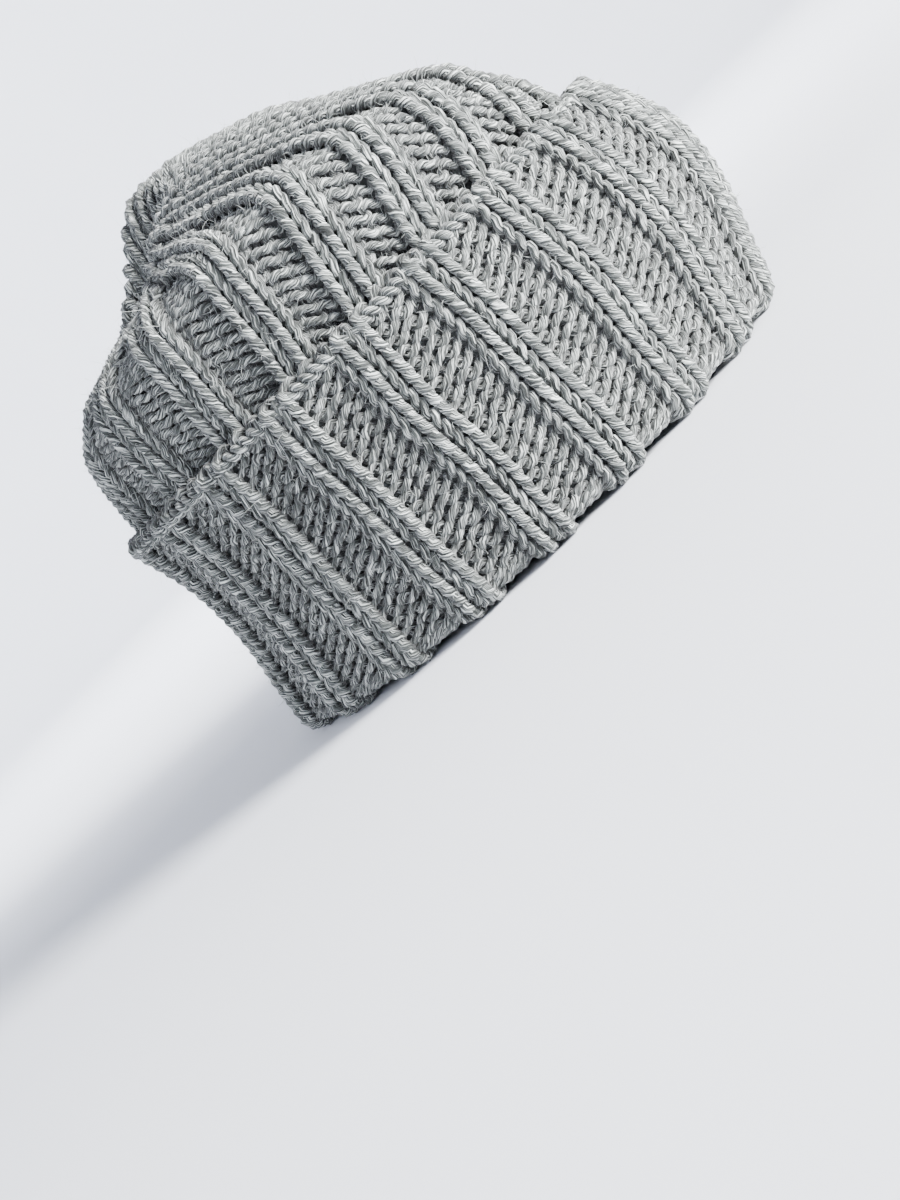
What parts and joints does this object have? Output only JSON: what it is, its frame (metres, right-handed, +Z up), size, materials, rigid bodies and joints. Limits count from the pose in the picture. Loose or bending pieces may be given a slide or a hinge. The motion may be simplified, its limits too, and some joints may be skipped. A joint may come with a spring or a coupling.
{
  "type": "cuffed beanie",
  "caption": "Chunky ribbed knit beanie with a turned-up cuff and a slouched crown drawn in at the back of the top.",
  "frame": {"origin": "middle of the base, on the surface that the folded rim rests on", "axes": "+Z up; the front towards -Y, where the crown runs down to the cuff; the back towards +Y, where the crown is drawn in; the side that the picture shows towards -X"},
  "size_m": [0.1729, 0.2242, 0.166],
  "materials": {
    "crown_knit": "soft plied wool in two-by-two rib, matt, lightly fuzzy",
    "cuff_knit": "soft plied wool in two-by-two rib, matt, lightly fuzzy",
    "edge_yarn": "cast-on loops of the same yarn, matt",
    "gathered_yarn": "drawn-in stitches of the same yarn, matt"
  },
  "bodies": {
    "root": {"crown": "crown_knit", "cuff": "cuff_knit", "cast_on_edge": "edge_yarn", "crown_gather": "gathered_yarn"}
  },
  "joints": []
}
